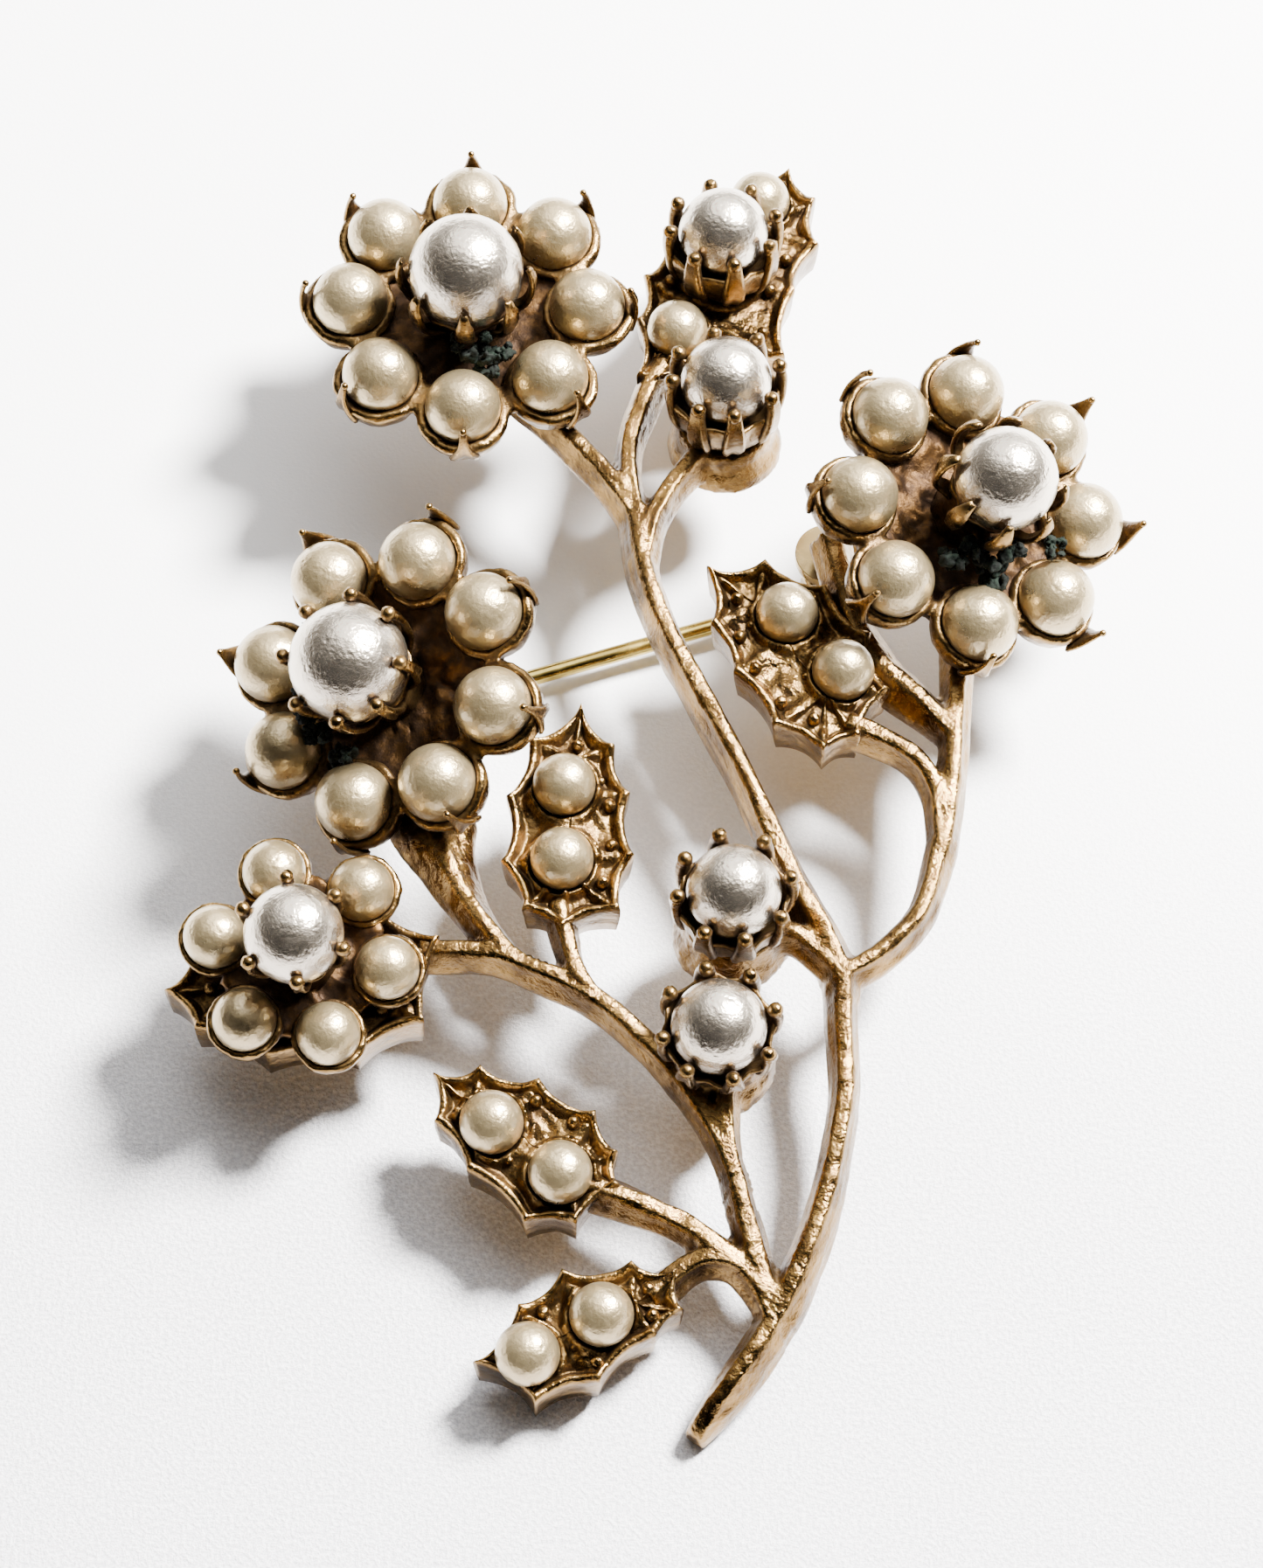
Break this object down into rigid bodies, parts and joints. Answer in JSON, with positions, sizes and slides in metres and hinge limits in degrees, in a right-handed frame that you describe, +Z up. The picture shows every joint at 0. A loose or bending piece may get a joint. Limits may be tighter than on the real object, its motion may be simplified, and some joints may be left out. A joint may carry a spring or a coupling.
{
  "type": "brooch",
  "caption": "Floral spray brooch: a cast branching stem with serrated leaves, pearl-set flowers and buds, and a hinged pin with a turning safety catch on the back.",
  "frame": {"origin": "on the table, under the middle of the brooch's bounding box, the brooch lying face up", "axes": "+Z up, out of the brooch's face; +Y along the spray, from the stem's free end to the top leaf; +X across the spray"},
  "size_m": [0.051, 0.073, 0.0181],
  "materials": {
    "cast_gold": "gold-tone plated casting, bright on the ridges, brown patina in the recesses",
    "white_pearl": "glossy imitation pearl coat",
    "cream_pearl": "glossy imitation pearl coat, yellowed and slightly worn",
    "finding_brass": "plated, lightly worn",
    "pin_wire": "bright drawn wire"
  },
  "bodies": {
    "root": {"spray_frame": "cast_gold", "flower_1_plate": "cast_gold", "flower_1_centre_cup": "cast_gold", "flower_1_centre_pearl": "white_pearl", "bud_1_cup": "cast_gold", "bud_1_pearl": "white_pearl", "flower_2_plate": "cast_gold", "flower_2_centre_cup": "cast_gold", "flower_2_centre_pearl": "white_pearl", "bud_2_cup": "cast_gold", "bud_2_pearl": "white_pearl", "flower_3_plate": "cast_gold", "flower_3_centre_cup": "cast_gold", "flower_3_centre_pearl": "white_pearl", "bud_3_cup": "cast_gold", "bud_3_pearl": "white_pearl", "flower_4_plate": "cast_gold", "flower_4_centre_cup": "cast_gold", "flower_4_centre_pearl": "white_pearl", "bud_4_cup": "cast_gold", "bud_4_pearl": "white_pearl", "flower_1_petal_pearl_1": "cream_pearl", "flower_1_petal_pearl_2": "cream_pearl", "flower_1_petal_pearl_3": "cream_pearl", "flower_1_petal_pearl_4": "cream_pearl", "flower_1_petal_pearl_5": "cream_pearl", "flower_1_petal_pearl_6": "cream_pearl", "flower_1_petal_pearl_7": "cream_pearl", "flower_1_petal_pearl_8": "cream_pearl", "flower_2_petal_pearl_1": "cream_pearl", "flower_2_petal_pearl_2": "cream_pearl", "flower_2_petal_pearl_3": "cream_pearl", "flower_2_petal_pearl_4": "cream_pearl", "flower_2_petal_pearl_5": "cream_pearl", "flower_2_petal_pearl_6": "cream_pearl", "flower_2_petal_pearl_7": "cream_pearl", "flower_2_petal_pearl_8": "cream_pearl", "flower_3_petal_pearl_1": "cream_pearl", "flower_3_petal_pearl_2": "cream_pearl", "flower_3_petal_pearl_3": "cream_pearl", "flower_3_petal_pearl_4": "cream_pearl", "flower_3_petal_pearl_5": "cream_pearl", "flower_3_petal_pearl_6": "cream_pearl", "flower_3_petal_pearl_7": "cream_pearl", "flower_3_petal_pearl_8": "cream_pearl", "flower_4_petal_pearls": "cream_pearl", "leaf_a_pearls": "cream_pearl", "leaf_b_pearls": "cream_pearl", "leaf_c_pearls": "cream_pearl", "leaf_d_pearls": "cream_pearl", "leaf_e_pearls": "cream_pearl", "hinge_bracket": "finding_brass", "hinge_rivet": "finding_brass", "catch_body": "finding_brass"},
    "pin": {"pin_stem": "pin_wire"},
    "safety_catch": {"catch_rotor": "finding_brass"}
  },
  "joints": [
    {"name": "pin_hinge", "type": "hinge", "parent": "root", "child": "pin", "pos_m": [-0.01428, 0.00522, 0.0014], "axis": [-0.309, 0.9511, 0], "range_deg": [0, 90]},
    {"name": "catch_turn", "type": "hinge", "parent": "root", "child": "safety_catch", "pos_m": [0.00911, 0.01283, 0.0014], "axis": [0.9511, 0.309, 0], "range_deg": [0, 100]}
  ]
}
